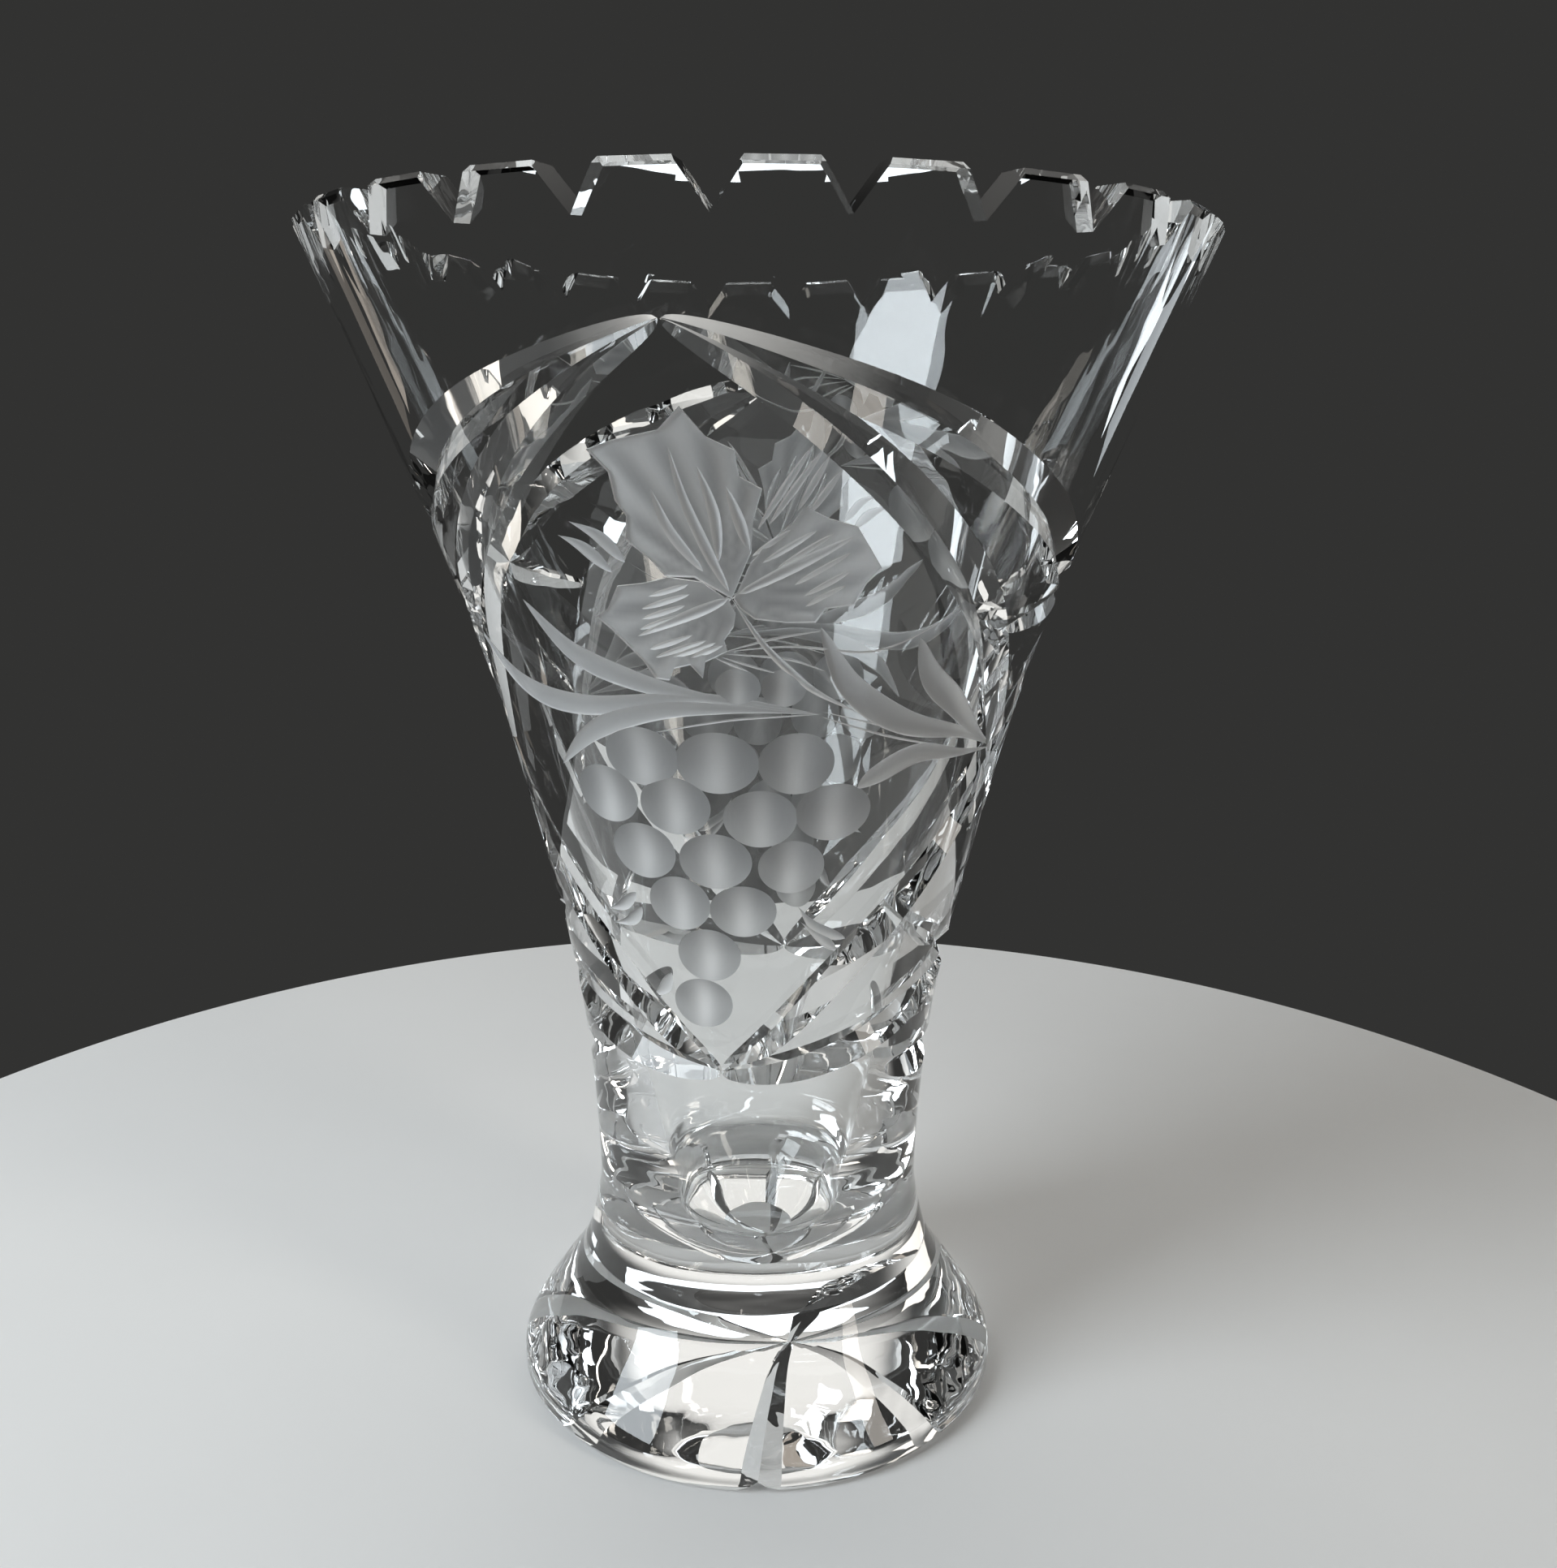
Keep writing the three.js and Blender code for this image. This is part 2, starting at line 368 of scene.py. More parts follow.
POLISHED = polished_crystal()
ENGRAVED = engraved_crystal()
JOIN = fused_join()
table.data.materials.append(pale_table())
print("finishes:", POLISHED.name, ENGRAVED.name, JOIN.name)

# %% [markdown]
# ## The shape of the blank
# The bowl and the foot are turned forms, so each is one profile and one axis. The profile is a smooth
# line through a few corners, which gives both the mesh rows and the place and slope of the glass under
# any cut. The flare above the base is one line that both pieces share: the foot has it up to the join,
# and the bowl has the rest.

# %% Driving dimensions and profiles, as radius and height
HEIGHT = 250 * MM
RIM_RADIUS = 88.75 * MM
RIM_WALL = 6.5 * MM
BASE_RADIUS = 56 * MM
JOIN_HEIGHT = 25.5 * MM
FIRST_NOTCH = -6  # degrees from the front
TEETH = 26
ROUND_SEGMENTS = TEETH * 10  # so that each notch falls on an edge of the blank

BOWL_OUTSIDE = np.array([
    (39.8, 32), (37.6, 42), (36.8, 52), (38.4, 80), (42, 105), (48.6, 135), (57, 167), (69, 201),
    (RIM_RADIUS / MM, HEIGHT / MM),
]) * MM
BOWL_INSIDE = np.array([
    ((RIM_RADIUS - RIM_WALL) / MM, HEIGHT / MM),
    (61.5, 200), (49.4, 166), (41, 135), (33, 104), (27.4, 78), (23.4, 57), (19.6, 41.5), (9, 30.7),
]) * MM
CAVITY_FLOOR = 29.9 * MM
FLARE_OUTSIDE = np.array([(56, 2), (55.2, 7), (48.4, 17.5), (42.8, 25.5), (39.8, 32)]) * MM
FLARE_ROWS = 40
FLARE_JOIN = 30  # the row at which the flare reaches the join's height


def smooth_line(corners, along):
    """Points of a Catmull-Rom line through the corners, for along from 0 at the first to 1 at the last."""
    corners = np.asarray(corners, float)
    last = len(corners) - 1
    place = np.clip(np.atleast_1d(along), 0, 1) * last
    start = np.minimum(place.astype(int), last - 1)
    t = (place - start)[:, None]
    before, here, after, beyond = (corners[np.clip(start + k, 0, last)] for k in (-1, 0, 1, 2))
    leave = (after - before) / 2
    arrive = (beyond - here) / 2
    bend = (2 * here - 2 * after + leave + arrive) * t**3
    return bend + (3 * after - 3 * here - 2 * leave - arrive) * t**2 + leave * t + here


FLARE = smooth_line(FLARE_OUTSIDE, np.linspace(0, 1, FLARE_ROWS + 1))
OUTSIDE_LINE = smooth_line(BOWL_OUTSIDE, np.linspace(0, 1, 801))
OUTSIDE_LEAN = np.gradient(OUTSIDE_LINE[:, 0], OUTSIDE_LINE[:, 1])
print("waist radius", round(OUTSIDE_LINE[:, 0].min() / MM, 1), "mm, rim radius", RIM_RADIUS / MM, "mm")


# %% Places on the glass
def turned_to(azimuth, radius, height):
    """The point at an azimuth in degrees from the front, which faces -Y."""
    turn = np.radians(azimuth)
    return np.stack(np.broadcast_arrays(radius * np.sin(turn), -radius * np.cos(turn), height), axis=-1)


def on_bowl(azimuth, height, out=0.0):
    """The point of the bowl's outside at an azimuth and height, moved out along the glass's normal."""
    azimuth, height, out = np.broadcast_arrays(azimuth, height, out)
    radius = np.interp(height, OUTSIDE_LINE[:, 1], OUTSIDE_LINE[:, 0])
    lean = np.interp(height, OUTSIDE_LINE[:, 1], OUTSIDE_LEAN)
    tall = np.hypot(1, lean)
    return turned_to(azimuth, radius + out / tall, height - out * lean / tall)


print("a point of the bowl:", on_bowl(0, 0.15).round(4))


# %% Meshes, and the normals that they hand on
def make_mesh(name, points, faces, material, sharp_degrees, inward=False, painted_sheen=None):
    """A closed solid. Its smooth normals, and the highlight and shade painted into an engraved cut's
    colour, are kept in corner attributes, which the booleans pass on to the cut. A cutter's normals point
    inward, as those of its cut do."""
    shape = bmesh.new()
    corners = [shape.verts.new(p) for p in points]
    for face in faces:
        shape.faces.new([corners[i] for i in face])
    bmesh.ops.recalc_face_normals(shape, faces=shape.faces)
    mesh = bpy.data.meshes.new(name)
    shape.to_mesh(mesh)
    shape.free()
    mesh.materials.append(material)
    mesh.polygons.foreach_set("use_smooth", [True] * len(mesh.polygons))
    mesh.set_sharp_from_angle(angle=math.radians(sharp_degrees))
    normals = np.zeros(len(mesh.loops) * 3, np.float32)
    mesh.corner_normals.foreach_get("vector", normals)
    kept = mesh.attributes.new("kept_normal", "FLOAT_VECTOR", "CORNER")
    kept.data.foreach_set("vector", -normals if inward else normals)
    corner_of = np.zeros(len(mesh.loops), np.int32)
    mesh.loops.foreach_get("vertex_index", corner_of)
    values = np.zeros(len(points), np.float32) if painted_sheen is None else np.asarray(painted_sheen, np.float32)
    mesh.attributes.new("painted_sheen", "FLOAT", "CORNER").data.foreach_set("value", values[corner_of])
    return linked(name, mesh)


def bands(first, rings, around):
    """The faces between rings of points, where the first ring starts at the point called first."""
    faces = []
    for ring in range(rings - 1):
        low = first + ring * around
        high = low + around
        for j in range(around):
            k = (j + 1) % around
            faces.append((low + j, low + k, high + k, high + j))
    return faces


def loft(name, rings, material, sharp_degrees=40, painted_sheen=0.0):
    """A closed cutter through rings of points, with a flat end at each end."""
    rings = np.asarray(rings)
    count, around = rings.shape[:2]
    painted_sheen = np.broadcast_to(painted_sheen, (count, around)).ravel()
    faces = bands(0, count, around)
    faces.append(tuple(range(around)))
    faces.append(tuple(range((count - 1) * around, count * around)))
    return make_mesh(name, rings.reshape(-1, 3), faces, material, sharp_degrees, True, painted_sheen)


def turned(name, profile, segments, material, sharp_degrees=30):
    """A profile that starts and ends on the axis, turned about it."""
    azimuths = FIRST_NOTCH + np.arange(segments) * 360 / segments
    middle = profile[1:-1]
    rings = np.concatenate([turned_to(azimuths, r, z) for r, z in middle])
    points = [(0, 0, profile[0][1]), *rings, (0, 0, profile[-1][1])]
    faces = bands(1, len(middle), segments)
    last_ring = 1 + (len(middle) - 1) * segments
    for j in range(segments):
        k = (j + 1) % segments
        faces.append((0, 1 + j, 1 + k))
        faces.append((len(points) - 1, last_ring + j, last_ring + k))
    return make_mesh(name, points, faces, material, sharp_degrees)


# %% [markdown]
# ## The boolean bench
# A boolean leaves thin odd triangles along every cut, and ordinary smooth shading would smear over them,
# which shows at once in glass. So every face corner carries the exact normal of the surface that it came
# from. After the last cut those normals are read back, and each face is shaded as the blank or the wheel
# shaped it.

# %% Cutting and finishing
def collected(name, pieces):
    group = bpy.data.collections.new(name)
    for piece in pieces:
        group.objects.link(piece)
    return group


def boolean(piece, operation, cutters):
    """Takes cutters away from the piece, or keeps what they share, and removes them."""
    before = len(piece.data.polygons)
    step = piece.modifiers.new("cut", "BOOLEAN")
    step.operation = operation
    step.solver = "MANIFOLD"
    step.material_mode = "TRANSFER"
    step.operand_type = "COLLECTION"
    step.collection = collected("cutters", cutters)
    graph = bpy.context.evaluated_depsgraph_get()
    mesh = bpy.data.meshes.new_from_object(piece.evaluated_get(graph))
    piece.modifiers.remove(step)
    old = piece.data
    piece.data = mesh
    bpy.data.meshes.remove(old)
    bpy.data.collections.remove(bpy.data.collections["cutters"])
    for cutter in cutters:
        bpy.data.objects.remove(cutter)
    after = len(mesh.polygons)
    print(f"{piece.name}: {operation.lower()} with {len(cutters)} solids, {before} to {after} faces")


def settle_normals(piece):
    """Shades each face with the normals that its corners carry."""
    mesh = piece.data
    kept = mesh.attributes["kept_normal"]
    normals = np.zeros(len(mesh.loops) * 3, np.float32)
    kept.data.foreach_get("vector", normals)
    normals = normals.reshape(-1, 3)
    mesh.attributes.remove(kept)
    mesh.polygons.foreach_set("use_smooth", [True] * len(mesh.polygons))
    for extra in ("sharp_edge", "sharp_face"):
        if extra in mesh.attributes:
            mesh.attributes.remove(mesh.attributes[extra])
    mesh.normals_split_custom_set(normals / np.maximum(np.linalg.norm(normals, axis=1), 1e-9)[:, None])


# %% [markdown]
# ## The V grooves
# A wheel with a 110 degree edge was pressed into the glass and drawn along an arc, lightly at both ends
# and deeply in the middle. The cutter is that wedge, swept along the same route over the bowl. Two arcs
# leave each point of a medallion on each side: the inner ones frame the engraving and cross at its sides,
# and the outer ones run on to the next medallion. A crescent of clear glass stays between them.

# %% Groove routes, as degrees from the medallion's middle and millimetres of height
MEDALLIONS = (-12, 168)  # degrees from the front
ARCS = {
    "inner_top": [(0, 229), (15, 217.5), (35, 199.5), (55, 179), (75, 151), (92, 131)],
    "inner_bottom": [(0, 88), (15, 97), (35, 113), (55, 130), (75, 151), (92, 168)],
    "outer_top": [(0, 229), (15, 222.5), (35, 213.5), (60, 200), (90, 184), (121, 178)],
    "outer_bottom": [(0, 88), (15, 89), (35, 92), (60, 97.5), (90, 105), (125, 118)],
}
SIDE_CUT = [(54, 84.5), (72, 82.4), (90, 81.6), (108, 82.4), (126, 84.5)]
MITRE_SLOPE = math.tan(math.radians(55))
MITRE_DEPTH = 3.3 * MM
MITRE_ABOVE = 1.6 * MM  # the wedge's back stands this far above the glass
MITRE_LIFT = 0.15 * MM  # its edge is this far clear of the glass where the wheel comes down and lifts off
GROOVE_STEPS = 72


def swept(name, azimuth, height, section, material, sharp_degrees=40, painted_sheen=0.0):
    """Sweeps a section along a line over the bowl. It gives, for each station, points across and out."""
    middle = on_bowl(azimuth, height)
    normal = on_bowl(azimuth, height, 1.0) - middle
    forward = np.gradient(middle, axis=0)
    side = np.cross(normal, forward)
    side /= np.linalg.norm(side, axis=1)[:, None]
    across, out = section[..., 0, None], section[..., 1, None]
    rings = middle[:, None] + side[:, None] * across + normal[:, None] * out
    return loft(name, rings, material, sharp_degrees, painted_sheen=painted_sheen)


def wedge(depth, above, slope):
    """A V section for each depth: its edge at that depth, and its back above the glass."""
    half = (depth + above) * slope
    high = np.full_like(depth, above)
    corners = ((-half, high), (0 * half, -depth), (half, high))
    return np.stack([np.stack(corner, -1) for corner in corners], axis=1)


def groove(name, corners, middle, hand):
    along = np.linspace(0, 1, GROOVE_STEPS + 1)
    line = smooth_line(corners, along)
    depth = MITRE_DEPTH * np.sqrt(np.sin(np.pi * along)) - MITRE_LIFT
    section = wedge(depth, MITRE_ABOVE, MITRE_SLOPE)
    return swept(name, middle + hand * line[:, 0], line[:, 1] * MM, section, POLISHED)


def groove_cutters():
    cutters = []
    for middle in MEDALLIONS:
        for name, corners in ARCS.items():
            cutters += [groove(name, corners, middle, hand) for hand in (-1, 1)]
        cutters.append(groove("side_cut", SIDE_CUT, middle, 1))
    return cutters


# %% [markdown]
# ## The rim
# Under each tooth the glass was ground flat, and its top edge has a small flat bevel, so the mouth is a
# ring of 26 panels with their corners at the notches. One many-sided frustum cuts all the panels at once,
# as what it shares with the blank. Each notch is a V, ground straight through the wall.

# %% Rim panels and notches
NOTCH_DEPTH = 6.5 * MM  # at the inside of the wall
NOTCH_GAP = 8.8 * MM
NOTCH_FLARE = 0.3  # how much wider it gets, for each step outwards
NOTCH_FALL = 0.22  # how much deeper
NOTCH_ABOVE = 2 * MM
RIM_BEVEL = 1 * MM
PANELS_START = 214 * MM
PANEL_FADE = 0.8 * MM


def rim_panels():
    start = np.interp(PANELS_START, OUTSIDE_LINE[:, 1], OUTSIDE_LINE[:, 0])
    wide = RIM_RADIUS + 20 * MM
    outline = [
        (0, JOIN_HEIGHT - MM),
        (wide, JOIN_HEIGHT - MM),
        (wide, PANELS_START),
        (start + PANEL_FADE, PANELS_START),
        (RIM_RADIUS, HEIGHT - RIM_BEVEL),
        (RIM_RADIUS - RIM_BEVEL, HEIGHT),
        (0, HEIGHT),
    ]
    return turned("rim_panels", outline, TEETH, POLISHED, sharp_degrees=3)


def notch(azimuth):
    """A V through the wall, ground from outside, so it is wider and deeper there."""
    turn = math.radians(azimuth)
    outward = np.array((math.sin(turn), -math.cos(turn), 0))
    sideways = np.array((math.cos(turn), math.sin(turn), 0))
    rings = []
    for step in (-2 * RIM_WALL, 2 * RIM_WALL):
        deep = NOTCH_DEPTH + step * NOTCH_FALL
        half = (NOTCH_GAP + step * NOTCH_FLARE) / 2 * (1 + NOTCH_ABOVE / deep)
        corners = [(0, HEIGHT - deep), (half, HEIGHT + NOTCH_ABOVE), (-half, HEIGHT + NOTCH_ABOVE)]
        middle = outward * (RIM_RADIUS - RIM_WALL + step)
        rings.append([middle + sideways * x + np.array((0, 0, z)) for x, z in corners])
    return loft("notch", rings, POLISHED)


def notch_cutters():
    return [notch(FIRST_NOTCH + 360 / TEETH * tooth) for tooth in range(TEETH)]


# %% [markdown]
# ## The engraving
# A stone wheel touched the glass only lightly here. A grape is one dab of a round-edged wheel, an oval
# dish about a millimetre deep. A leaf blade is a dab that was drawn along and lifted off at both ends. A
# vine lobe is a shallow pocket that is deepest along its outline. Veins, the stem and the tendrils are
# thin strokes. Every shape is placed in degrees from the medallion's middle and millimetres of height.

# %% Engraving cutters
ENGRAVE_ABOVE = 0.8 * MM
GRAPE_ABOVE = 1.4 * MM  # a dish is wide, so its back has to clear the round of the glass
PICTURE_TURN = 1.2  # the picture sits a little to one side of the medallion's middle, in degrees
PAINTED_STREAK_HALF = 0.38  # half of the width of the painted highlight streak down a grape, as a share of the grape


def dish(middle, turn, height, wide, tall, depth):
    """One grape: an oval dish, wide in degrees, tall and depth in millimetres."""
    share = np.array([0.04, 0.2, 0.4, 0.6, 0.8, 0.92, 1.0, 1.12, 1.3])
    round_ = np.linspace(0, 2 * math.pi, 48, endpoint=False)
    across = np.outer(share, np.cos(round_))
    rise = np.outer(share, np.sin(round_))
    azimuth = middle + turn + wide / 2 * across
    level = (height + tall / 2 * rise) * MM
    out = np.broadcast_to((-depth * MM * (1 - share**2))[:, None], azimuth.shape)
    lid = on_bowl(azimuth[0], level[0], GRAPE_ABOVE)
    # painted highlight: a bright streak down the middle of each grape, painted grey towards its sides
    painted_streak = np.exp(-((across / PAINTED_STREAK_HALF) ** 2)) * (1 - 0.35 * rise**2)
    painted_streak = np.concatenate([painted_streak, painted_streak[:1]])
    return loft("grape", [*on_bowl(azimuth, level, out), lid], ENGRAVED, 60, painted_sheen=painted_streak)


BLADE_SECTION = [(-1, 0), (-0.86, -0.6), (0, -1), (0.86, -0.6), (1, 0)]
BLADE_PAINTED_LIGHT = [1, 0.9, 0.55, 0.4, 0.8, 0, 0]  # painted light and shade across the cut, from lip to lip of the section: lightest at the lips, darker in the middle, and none on the back
BLADE_BACK = 1.05  # the back is this much wider than the cut
BLADE_TIP = 0.02  # half of the width of a tip, and how far it is clear of the glass, in millimetres


def blade(middle, corners, wide, depth=0.4, steps=40, peak=0.5, painted_sheen=BLADE_PAINTED_LIGHT):
    """A leaf blade or a stroke: a shallow cut along a line, widest at peak. Sizes are in millimetres."""
    along = np.linspace(0, 1, steps + 1)
    line = smooth_line(corners, along)
    swell = np.sin(math.pi * along ** (math.log(0.5) / math.log(peak)))
    half = np.maximum(wide / 2 * swell, BLADE_TIP) * MM
    deep = (depth * np.sqrt(swell) - BLADE_TIP) * MM
    section = [np.stack([half * x, deep * y], -1) for x, y in BLADE_SECTION]
    back = np.full_like(half, ENGRAVE_ABOVE)
    section += [np.stack([half * x, back], -1) for x in (BLADE_BACK, -BLADE_BACK)]
    return swept("stroke", middle + line[:, 0], line[:, 1] * MM, np.stack(section, 1), ENGRAVED, 60, painted_sheen)


LOBE_DEPTH = 0.3  # this and the lengths below are in millimetres
LOBE_LIP = 0.3  # how much deeper it is along its outline
LOBE_FADE = 2
LOBE_GRID = 1.1
FLUTE_TURN = 15  # degrees between the flutes that fan out over a lobe
FLUTE_DEPTH = 0.12
FLUTE_START = 12  # how far from the root a flute has its full depth
ROOT_PAINTED_LIGHT = 0.3  # painted shade: a lobe is painted greyest at its root
PAINTED_LIGHT_RISE = 0.012  # painted light added for each millimetre from the root
# painted highlights on the flutes and along the outline; EDGE_FADE is how fast the outline's fades
FLUTE_PAINTED_LIGHT = 0.35
EDGE_PAINTED_LIGHT = 0.6
EDGE_FADE = 1.1


def distance_to_outline(points, outline):
    side = np.roll(outline, -1, axis=0) - outline
    share = np.clip(((points[:, None] - outline) * side).sum(-1) / (side**2).sum(-1), 0, 1)
    return np.linalg.norm(points[:, None] - outline - side * share[..., None], axis=-1).min(1)


def filled(outline, grid):
    """Points and triangles that fill a flat outline evenly."""
    low, high = outline.min(0), outline.max(0)
    xs, ys = np.meshgrid(np.arange(low[0], high[0], grid), np.arange(low[1], high[1], grid))
    xs = xs + (np.arange(len(ys)) % 2)[:, None] * grid / 2
    inner = np.stack([xs.ravel(), ys.ravel()], -1)
    inner = inner[distance_to_outline(inner, outline) > 0.45 * grid]
    edges = [(i, (i + 1) % len(outline)) for i in range(len(outline))]
    points = [Vector(p) for p in np.concatenate([outline, inner])]
    inside_only, tolerance = 1, 1e-5
    places, _, triangles, *_ = delaunay_2d_cdt(points, edges, [], inside_only, tolerance)
    return np.array([tuple(p) for p in places]), triangles


def pocket(middle, outline, root):
    """A vine lobe: a pocket that follows the glass, deepest along its outline and fluted from its root."""
    outline = np.array(outline, float)
    radius = np.interp(outline[:, 1].mean() * MM, OUTSIDE_LINE[:, 1], OUTSIDE_LINE[:, 0]) / MM
    scale = np.array((math.radians(1) * radius, 1))
    places, triangles = filled(outline * scale, LOBE_GRID)
    edge = distance_to_outline(places, outline * scale)
    from_root = places - np.array(root) * scale
    turn = np.degrees(np.arctan2(from_root[:, 1], from_root[:, 0]))
    reach = np.linalg.norm(from_root, axis=1)
    flute = np.cos(2 * math.pi * turn / FLUTE_TURN) * np.clip(reach / FLUTE_START, 0, 1)
    out = -(LOBE_DEPTH + LOBE_LIP * np.exp(-edge / LOBE_FADE) + FLUTE_DEPTH * flute) * MM
    # painted light and shade: greyest at the root, lighter further out, on the flutes and along the
    # outline
    painted_sheen = ROOT_PAINTED_LIGHT + PAINTED_LIGHT_RISE * reach + FLUTE_PAINTED_LIGHT * flute + EDGE_PAINTED_LIGHT * np.exp(-edge / EDGE_FADE)
    painted_sheen = np.clip(painted_sheen, 0, 1)
    spots = places / scale
    floor = on_bowl(middle + spots[:, 0], spots[:, 1] * MM, out)
    lid = on_bowl(middle + spots[:, 0], spots[:, 1] * MM, ENGRAVE_ABOVE)
    count = len(spots)
    sides = {pair for a, b, c in triangles for pair in ((a, b), (b, c), (c, a))}
    faces = [tuple(t) for t in triangles] + [tuple(count + i for i in reversed(t)) for t in triangles]
    faces += [(a, b, count + b, count + a) for a, b in sides if (b, a) not in sides]
    return make_mesh("lobe", np.concatenate([floor, lid]), faces, ENGRAVED, 50, True, np.tile(painted_sheen, 2))


# %% Grapes, as degrees from the middle, height, width in degrees and height of the dish
GRAPES = [
    (14, 170, 8, 7), (6, 170, 8, 7),
    (-14, 156, 16, 11.5), (17, 155.5, 15, 12), (1.5, 155.5, 16.5, 12),
    (-24, 147.5, 15.5, 11.5), (-8, 146.5, 15.5, 11.5), (25.5, 145.5, 16.5, 11.5), (10, 144.5, 15.5, 11.5),
    (-17, 136.5, 16, 11.5), (17, 134.5, 15, 11), (0, 135.5, 16.5, 11.5),
    (-9.5, 126, 15.5, 11.5), (6, 125, 16, 11), (-3, 115, 16.5, 11.5), (-5.5, 104, 16.5, 11),
]


def grape_cutters(middle):
    """Later grapes are cut a little deeper, so their outlines stay whole where two meet."""
    shallow, step = 0.75, 0.03
    return [dish(middle, *grape, shallow + step * i) for i, grape in enumerate(GRAPES)]


# %% Vine leaf
JOINT = (5.5, 186)  # where the lobes, the veins and the stem meet
TOP_LOBE = [
    JOINT, (8.5, 194), (8.8, 199), (10, 204), (7, 206), (6.5, 210), (3, 212), (0, 216.5), (-3, 213),
    (-9, 211.5), (-13, 210), (-10.5, 206.5), (-10.3, 202), (-9, 199.5), (-9.8, 195.5), (-6.5, 192.5),
    (-4.5, 189.6), (0, 189.5),
]
LEFT_LOBE = [
    (5, 185.6), (1, 188.7), (-4, 189.4), (-8, 188.3), (-12.6, 187.6), (-13.8, 185.6), (-15.2, 183.4),
    (-17.6, 182), (-15.2, 179.8), (-12.2, 176.5), (-10.3, 174.4), (-8.6, 171.2), (-6, 171), (-5, 173.2),
    (-2, 174), (0, 171.6), (0.6, 174.6), (4.4, 176.6), (4, 178.6), (5.6, 181), (6, 183.4),
]
RIGHT_LOBE = [
    (5.8, 185.8), (8.4, 192), (11.5, 196), (14.2, 198.6), (15.8, 201.4), (19.2, 199.4), (23.5, 198),
    (25.5, 195), (28.2, 191), (26, 188.4), (24.6, 184.8), (20, 184.2), (18.6, 181.8), (14, 181.8),
    (9, 182.4), (6.8, 184.2),
]
VEINS = [
    [JOINT, (2.5, 193), (-0.5, 202), (-2, 211)], [(1.6, 190), (-3, 197), (-5, 204)],
    [(3.8, 192), (3.4, 200), (1.4, 208)], [(8.4, 193.5), (6.8, 199), (5, 205)],
    [JOINT, (-1, 183), (-11, 178.6)], [JOINT, (15, 191.5), (24.5, 197)],
]
SLASHES = [
    ((-8.4, 185.6), (-0.2, 188.4)), ((-9.4, 183.6), (-0.6, 186.6)), ((-10, 181.6), (-1.6, 184.6)),
    ((-10.4, 179.9), (-1.2, 183.2)), ((-9.8, 176.1), (-0.8, 179.4)), ((-8.4, 174.9), (1.6, 178.6)),
    ((-5.8, 174.8), (3, 178.2)), ((-2.2, 175), (4.4, 177.8)),
    ((8.6, 193.2), (14.6, 197.8)), ((9.4, 191.4), (18, 197.6)), ((12, 190.9), (20.8, 197.2)),
    ((14.6, 188), (23.2, 193.8)), ((16, 186), (24, 191)), ((16.6, 184.4), (23, 188.2)),
    ((9.4, 197.6), (16.4, 211)), ((11, 198.4), (17.8, 210.4)),
    ((14.8, 200.6), (18.6, 209.4)), ((16.4, 200), (20.4, 207.2)),
]


def leaf_cutters(middle):
    lobes = [pocket(middle, outline, JOINT) for outline in (TOP_LOBE, LEFT_LOBE, RIGHT_LOBE)]
    # veins and slashes carry a full painted highlight
    veins = [blade(middle, line, 2.2, 1.05, peak=0.45, painted_sheen=1) for line in VEINS]
    slashes = [blade(middle, line, 1.25, 0.85, steps=12, painted_sheen=1) for line in SLASHES]
    return lobes + veins + slashes


# %% Leaf blades, stem and tendrils
STEM = [JOINT, (10, 178.5), (15, 173), (20, 169), (28, 165)]
RIGHT_ROOT = (70, 153.5)
LEFT_ROOT = (21, 165)
BLADES = [
    ([RIGHT_ROOT, (60, 158), (50, 165), (42, 171), (37.5, 178.5)], 5.4),
    ([RIGHT_ROOT, (55, 158.5), (38, 162.5), (26, 170), (19.5, 181)], 5.4),
    ([RIGHT_ROOT, (55, 154.5), (43, 155.8), (34, 152.5), (30, 150)], 4.6),
    ([LEFT_ROOT, (0, 168), (-25, 165), (-42, 167.5), (-56, 177)], 4.6),
    ([LEFT_ROOT, (0, 168), (-14, 171), (-25, 175.5), (-33, 184)], 4.6),
    ([LEFT_ROOT, (5, 166), (-10, 165), (-24, 160), (-35.5, 152)], 4.2),
    ([(-21, 196), (-17, 194), (-13, 190)], 2.6), ([(-18.5, 198.4), (-14, 196), (-10.5, 191.8)], 2.6),
    ([(-31, 122), (-26, 123.5), (-21, 127)], 2.6), ([(-30, 119), (-24, 120.5), (-20, 124)], 2.6),
    ([(19, 126), (24, 121), (32, 118)], 2.6), ([(20, 122.5), (25, 119), (30, 115.5)], 2.2),
    ([(-21, 104), (-17, 106), (-14, 110)], 2.6),
]
TENDRILS = [
    [(4, 176.6), (12, 179), (20, 180.4)], [(4, 176.6), (15, 177.6), (30, 176.5), (43, 182)],
    [(4, 176.2), (14, 175.4), (21, 173)], [(3.4, 175.6), (13, 172.6)], [(2.4, 175.4), (8, 173)],
    [LEFT_ROOT, (5, 164), (-10, 161)], [(21, 165.5), (40, 160.5), (58, 157)],
    [(21, 164.5), (35, 160), (52, 156)],
]


def spray_cutters(middle):
    # the stem and tendrils carry a full painted highlight, the blades the painted light and shade of their
    # section
    stem = [blade(middle, STEM, 1.5, 0.6, painted_sheen=1)]
    blades = [blade(middle, line, wide, peak=0.62) for line, wide in BLADES]
    tendrils = [blade(middle, line, 0.5, 0.25, painted_sheen=1) for line in TENDRILS]
    return stem + blades + tendrils


# %% [markdown]
# ## The bowl
# The blank is turned from the outside profile and the cavity as one closed line. Then come the panels,
# the notches, the grooves and the engraving, in the order in which a cutting shop does them.

# %% Bowl
OUTSIDE_ROWS = 96
INSIDE_ROWS = 70


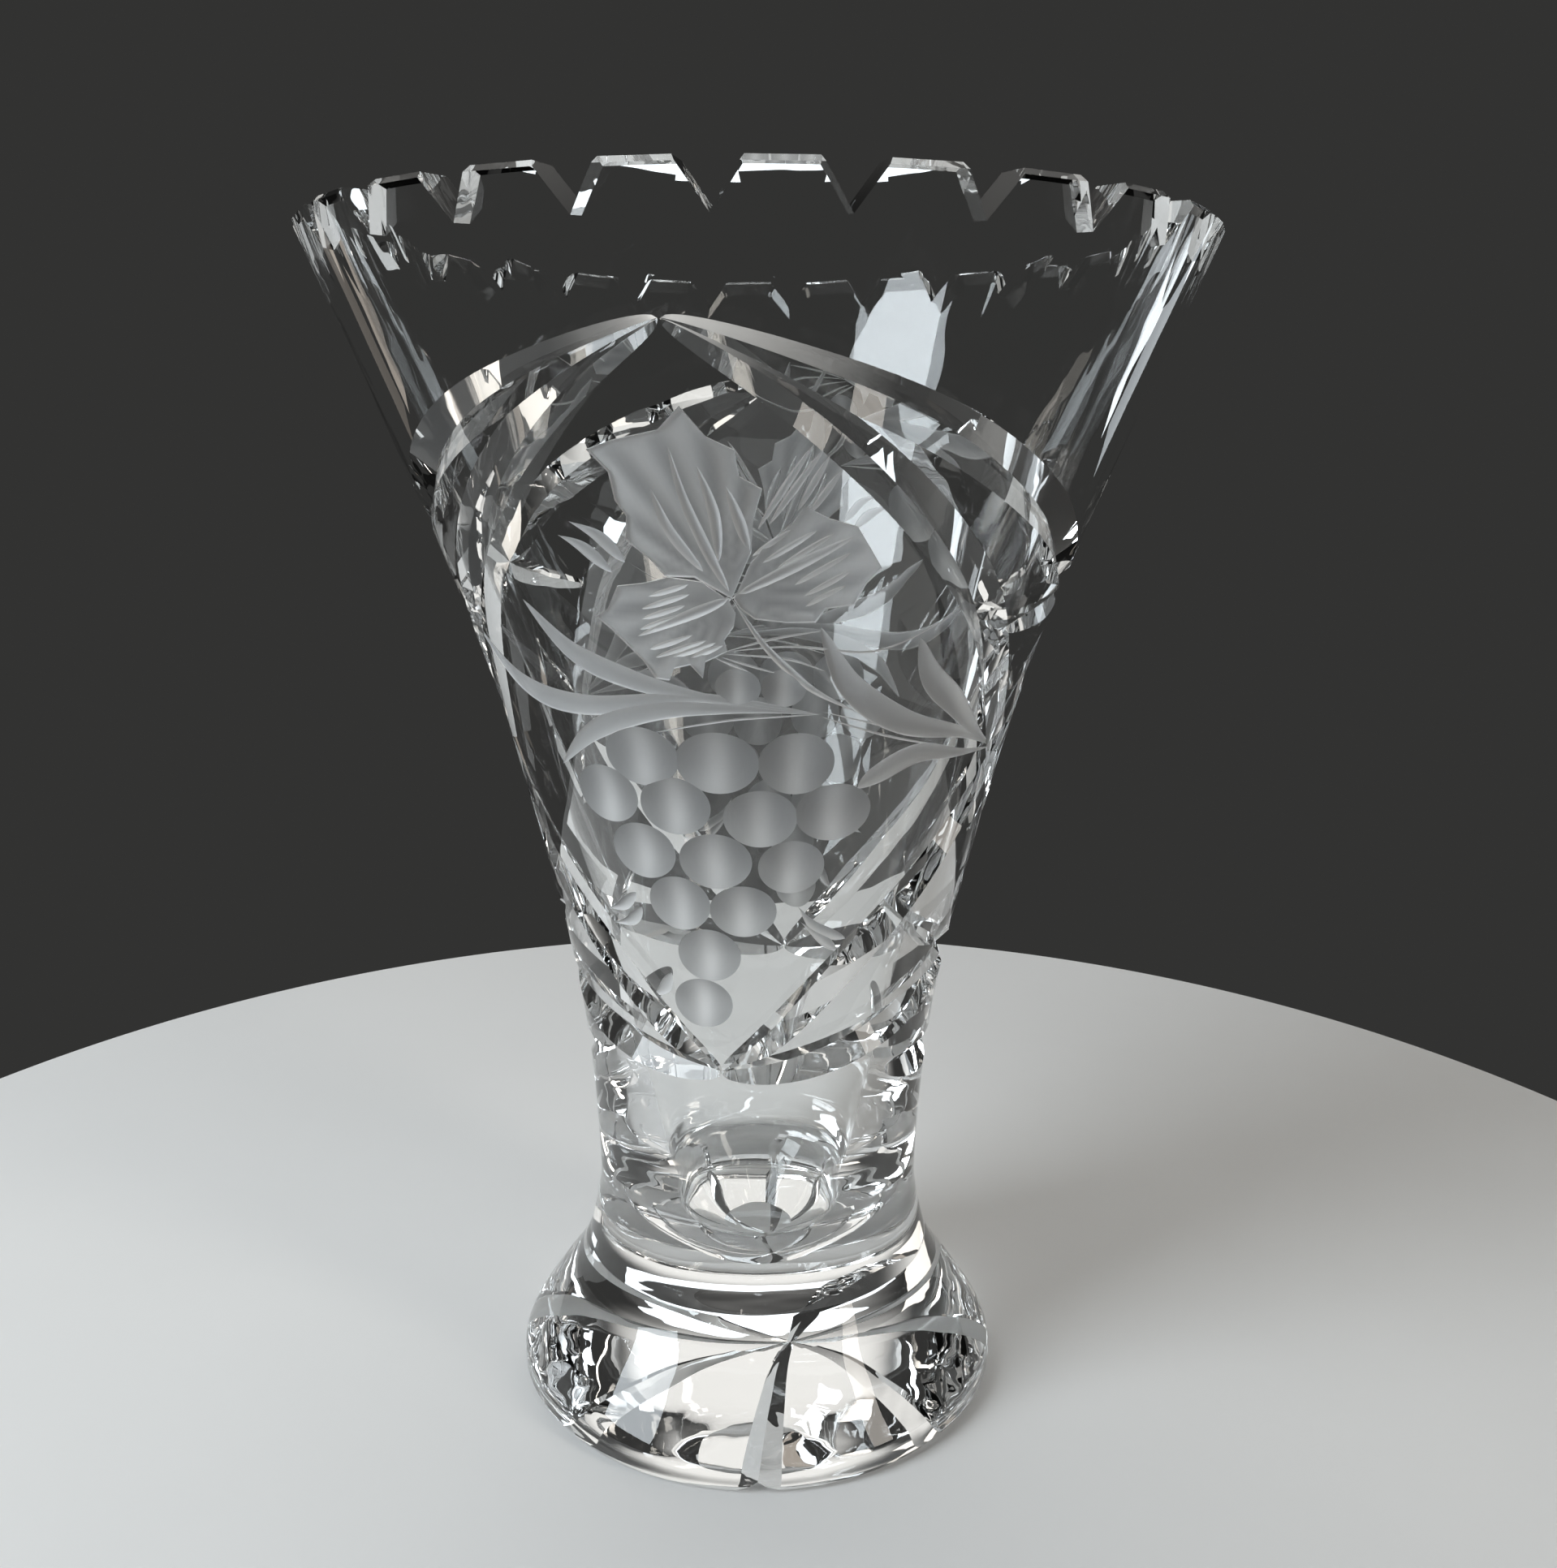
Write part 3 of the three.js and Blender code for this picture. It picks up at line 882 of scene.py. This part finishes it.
def make_bowl():
    outside = smooth_line(BOWL_OUTSIDE, np.linspace(0, 1, OUTSIDE_ROWS + 1))
    inside = smooth_line(BOWL_INSIDE, np.linspace(0, 1, INSIDE_ROWS + 1))
    profile = [(0, JOIN_HEIGHT), *FLARE[FLARE_JOIN:-1], *outside, *inside, (0, CAVITY_FLOOR)]
    bowl = turned("bowl_glass", profile, ROUND_SEGMENTS, POLISHED, sharp_degrees=20)
    boolean(bowl, "INTERSECT", [rim_panels()])
    boolean(bowl, "DIFFERENCE", notch_cutters())
    boolean(bowl, "DIFFERENCE", groove_cutters())
    for middle in MEDALLIONS:
        picture = middle + PICTURE_TURN
        boolean(bowl, "DIFFERENCE", grape_cutters(picture))
        boolean(bowl, "DIFFERENCE", leaf_cutters(picture))
        boolean(bowl, "DIFFERENCE", spray_cutters(picture))
    return bowl


def mark_join(piece):
    """Gives the flat face that is fused to the other piece a finish that lets everything pass."""
    close = 0.01 * MM
    upright = 0.99
    mesh = piece.data
    mesh.materials.append(JOIN)
    slot = len(mesh.materials) - 1
    for face in mesh.polygons:
        if abs(face.center.z - JOIN_HEIGHT) < close and abs(face.normal.z) > upright:
            face.material_index = slot


bowl = make_bowl()
mark_join(bowl)
settle_normals(bowl)
print("bowl_glass:", len(bowl.data.polygons), "faces,", [m.name for m in bowl.data.materials])

# %% [markdown]
# ## The foot
# The foot is solid glass with a star of eight V rays ground into its underside, from the middle out past
# the edge. The rays get deeper outwards, so they end in wide notches around the base. Each ray is cut on
# its own, because the rays run into each other in the middle.

# %% Foot
STAR_RAYS = 8
STAR_DEPTH = 3.6 * MM
STAR_START = 0.3 * MM  # the depth of a ray where it starts
RAY_OVERLAP = 2 * MM  # how far it starts behind the star's middle
BASE_EDGE = 1.4 * MM  # the width of the small bevel round the underside
FIRST_RAY = -6  # degrees from the front
STAR_CENTRE = np.array((5, 1, 0)) * MM  # the star was cut by hand, a little off the middle


def star_ray(azimuth):
    along = np.linspace(0, 1, 25)
    reach = -RAY_OVERLAP + along * (BASE_RADIUS + 5 * RAY_OVERLAP)
    depth = STAR_START + (STAR_DEPTH - STAR_START) * along
    section = wedge(depth, MITRE_ABOVE, MITRE_SLOPE)
    turn = math.radians(azimuth)
    sideways = np.array((math.cos(turn), math.sin(turn), 0))
    middle = turned_to(azimuth, reach, 0.0) + STAR_CENTRE
    down = np.array((0, 0, -1.0))
    rings = middle[:, None] + sideways * section[..., 0, None] + down * section[..., 1, None]
    return loft("star_ray", rings, POLISHED)


def make_foot():
    edge = [(BASE_RADIUS - BASE_EDGE, 0), *FLARE[:FLARE_JOIN + 1]]
    inner = [(BASE_RADIUS * share, 0) for share in (0.02, 0.25, 0.5, 0.75)]
    profile = [(0, 0), *inner, *edge, (0, JOIN_HEIGHT)]
    foot = turned("foot_glass", profile, ROUND_SEGMENTS, POLISHED)
    for ray in range(STAR_RAYS):
        boolean(foot, "DIFFERENCE", [star_ray(FIRST_RAY + 360 / STAR_RAYS * ray)])
    return foot


foot = make_foot()
mark_join(foot)
settle_normals(foot)
print("foot_glass:", len(foot.data.polygons), "faces")

# %% [markdown]
# ## Handing over
# Both pieces stand for their CAD nodes, which are hidden. Nothing on the vase moves, so both ride on
# its only body.

# %% Pieces and bodies
for piece, node in ((bowl, "bowl"), (foot, "foot")):
    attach(piece, "root")
    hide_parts(node)
